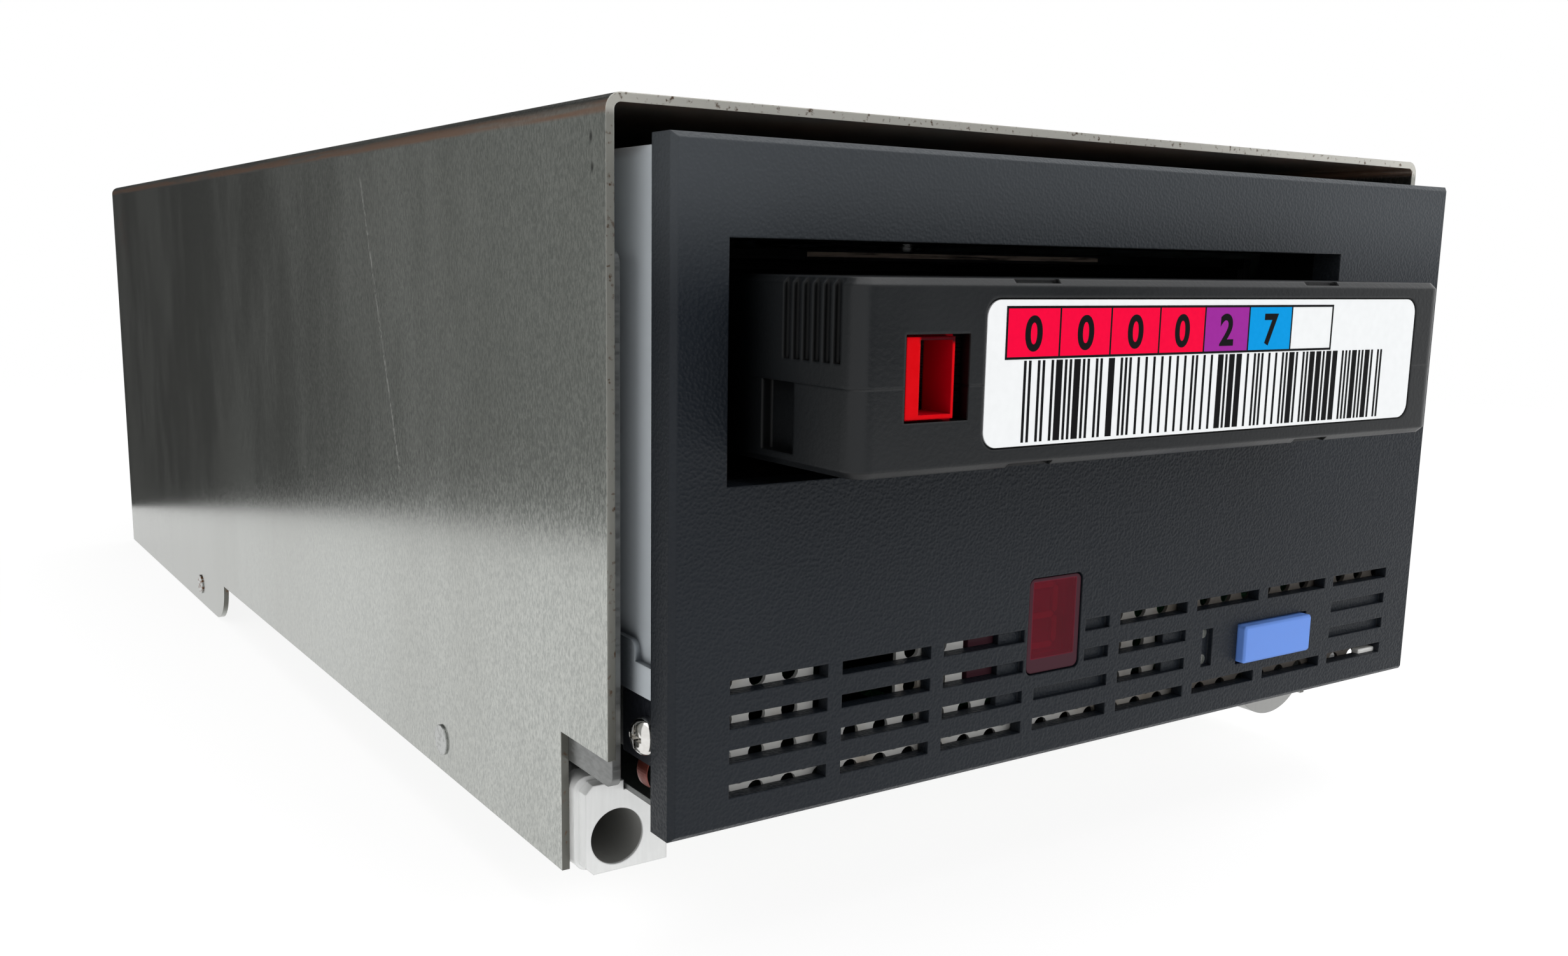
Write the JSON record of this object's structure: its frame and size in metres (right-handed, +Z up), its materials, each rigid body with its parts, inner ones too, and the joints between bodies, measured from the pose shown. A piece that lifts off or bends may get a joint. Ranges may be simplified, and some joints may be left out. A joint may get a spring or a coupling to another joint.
{
  "type": "data tape drive",
  "caption": "Full-height data tape drive in a folded steel library sled, with a part-ejected cartridge, vented bezel, eject button and docking guides.",
  "frame": {"origin": "centre of the bounding box's bottom face, at the height of the rear foot tabs' edges, cartridge as ejected", "axes": "+Z up, -Y out of the bezel where the cartridge comes out, +X to the right seen from the front"},
  "size_m": [0.1564, 0.355, 0.1078],
  "materials": {
    "galvanised": "spangled zinc",
    "rail_steel": "smooth zinc plate",
    "screw_steel": "bright nickel",
    "guide_cast": "satin",
    "cover_steel": "pale grey satin",
    "grille_steel": "pale perforated",
    "base_cast": "cast satin",
    "shaft_steel": "ground",
    "bezel_plastic": "fine leather grain",
    "black_plastic": "matt",
    "cartridge_plastic": "fine satin",
    "label_paper": "semi-gloss paper",
    "tab_red": "satin",
    "reel_plastic": "natural",
    "tape_dark": "brown-black",
    "window_red": "tinted",
    "digit_black": "matt",
    "pipe_clear": "clear",
    "button_blue": "satin",
    "board_green": "solder mask",
    "head_ceramic": "lapped"
  },
  "bodies": {
    "sled_and_drive": {"cover_shell": "galvanised", "base_pan": "galvanised", "shell_rivets": "screw_steel", "left_inner_rail": "rail_steel", "right_inner_rail": "rail_steel", "side_mount_screws": "screw_steel", "left_guide_block": "guide_cast", "right_guide_lug": "guide_cast", "rear_panel": "galvanised", "fan_frame": "black_plastic", "interface_board": "board_green", "board_standoffs": "reel_plastic", "host_port_cages": "rail_steel", "power_connector": "black_plastic", "bezel": "bezel_plastic", "slot_throat": "black_plastic", "display_window": "window_red", "display_digit": "digit_black", "led_pipes": "pipe_clear", "eject_switch": "black_plastic", "front_board": "board_green", "vent_grille": "grille_steel", "drive_cover": "cover_steel", "drive_base": "base_cast", "bottom_plate": "rail_steel", "frame_screws": "screw_steel", "main_board": "board_green", "rear_connector": "black_plastic", "left_loader_rail": "black_plastic", "right_loader_rail": "black_plastic", "loader_motor": "shaft_steel", "reel_stators": "shaft_steel", "roller_posts": "shaft_steel", "head_mount": "base_cast", "threader_post": "base_cast"},
    "fan": {"fan_rotor": "black_plastic"},
    "button": {"eject_button": "button_blue"},
    "slider": {"loader_slider": "rail_steel"},
    "tray": {"cartridge_tray": "rail_steel"},
    "cartridge": {"cartridge_top_shell": "cartridge_plastic", "cartridge_bottom_shell": "cartridge_plastic", "cartridge_label": "label_paper", "leader_pin": "shaft_steel"},
    "door": {"cartridge_door": "cartridge_plastic"},
    "protect_tab": {"write_protect_tab": "tab_red"},
    "supply_reel": {"cartridge_reel": "reel_plastic", "tape_pack": "tape_dark"},
    "gear": {"loader_gear": "reel_plastic"},
    "pinion": {"motor_pinion": "reel_plastic"},
    "clutch": {"reel_clutch": "base_cast"},
    "takeup": {"takeup_reel": "base_cast"},
    "roller_1": {"guide_roller_1": "shaft_steel"},
    "roller_2": {"guide_roller_2": "shaft_steel"},
    "roller_3": {"guide_roller_3": "shaft_steel"},
    "roller_4": {"guide_roller_4": "shaft_steel"},
    "head": {"head_block": "head_ceramic"},
    "threader": {"threader_arm": "shaft_steel"}
  },
  "joints": [
    {"name": "eject_press", "type": "slide", "parent": "sled_and_drive", "child": "button", "axis": [0, 1, 0], "range_m": [0, 0.001], "stiffness_N_per_m": 600},
    {"name": "loader_travel", "type": "slide", "parent": "sled_and_drive", "child": "slider", "axis": [0, 1, 0], "range_m": [0, 0.032]},
    {"name": "tray_drop", "type": "slide", "parent": "slider", "child": "tray", "axis": [0, 0, -1], "range_m": [0, 0.0024]},
    {"name": "cartridge_pull", "type": "slide", "parent": "tray", "child": "cartridge", "axis": [0, -1, 0], "range_m": [0, 0.085]},
    {"name": "door_slide", "type": "slide", "parent": "cartridge", "child": "door", "axis": [0, -1, 0], "range_m": [0, 0.013], "stiffness_N_per_m": 40},
    {"name": "protect_slide", "type": "slide", "parent": "cartridge", "child": "protect_tab", "axis": [1, 0, 0], "range_m": [0, 0.0017]},
    {"name": "supply_reel_spin", "type": "hinge", "parent": "cartridge", "child": "supply_reel", "pos_m": [-0.0109, -0.12652, 0.0752], "axis": [0, 0, 1], "continuous": true},
    {"name": "clutch_spin", "type": "hinge", "parent": "sled_and_drive", "child": "clutch", "pos_m": [-0.0109, -0.09452, 0.0552], "axis": [0, 0, 1], "continuous": true},
    {"name": "takeup_spin", "type": "hinge", "parent": "sled_and_drive", "child": "takeup", "pos_m": [-0.012, 0.00243, 0.0702], "axis": [0, 0, 1], "continuous": true},
    {"name": "head_shift", "type": "slide", "parent": "sled_and_drive", "child": "head", "axis": [0, 0, 1], "range_m": [-0.003, 0.003]},
    {"name": "threader_swing", "type": "hinge", "parent": "sled_and_drive", "child": "threader", "pos_m": [0.06, 0.02293, 0.0922], "axis": [0, 0, -1], "range_deg": [0, 63]},
    {"name": "loader_gear_spin", "type": "hinge", "parent": "sled_and_drive", "child": "gear", "pos_m": [-0.067, -0.09508, 0.0532], "axis": [1, 0, 0], "range_deg": [-229.19, 0]},
    {"name": "motor_pinion_spin", "type": "hinge", "parent": "sled_and_drive", "child": "pinion", "pos_m": [-0.067, -0.08283, 0.0495], "axis": [1, 0, 0], "range_deg": [0, 381.98]},
    {"name": "fan_spin", "type": "hinge", "parent": "sled_and_drive", "child": "fan", "pos_m": [-0.036, 0.16292, 0.0642], "axis": [0, 1, 0], "continuous": true},
    {"name": "roller_1_spin", "type": "hinge", "parent": "sled_and_drive", "child": "roller_1", "pos_m": [0.054, -0.04657, 0.0732], "axis": [0, 0, 1], "continuous": true},
    {"name": "roller_2_spin", "type": "hinge", "parent": "sled_and_drive", "child": "roller_2", "pos_m": [0.0605, -0.03308, 0.0732], "axis": [0, 0, 1], "continuous": true},
    {"name": "roller_3_spin", "type": "hinge", "parent": "sled_and_drive", "child": "roller_3", "pos_m": [0.0605, -0.00707, 0.0732], "axis": [0, 0, 1], "continuous": true},
    {"name": "roller_4_spin", "type": "hinge", "parent": "sled_and_drive", "child": "roller_4", "pos_m": [0.052, 0.00743, 0.0732], "axis": [0, 0, 1], "continuous": true}
  ],
  "couplings": [
    {"joint": "loader_gear_spin", "follows": "loader_travel", "rad_per_m": -125},
    {"joint": "motor_pinion_spin", "follows": "loader_travel", "rad_per_m": 208.33}
  ]
}
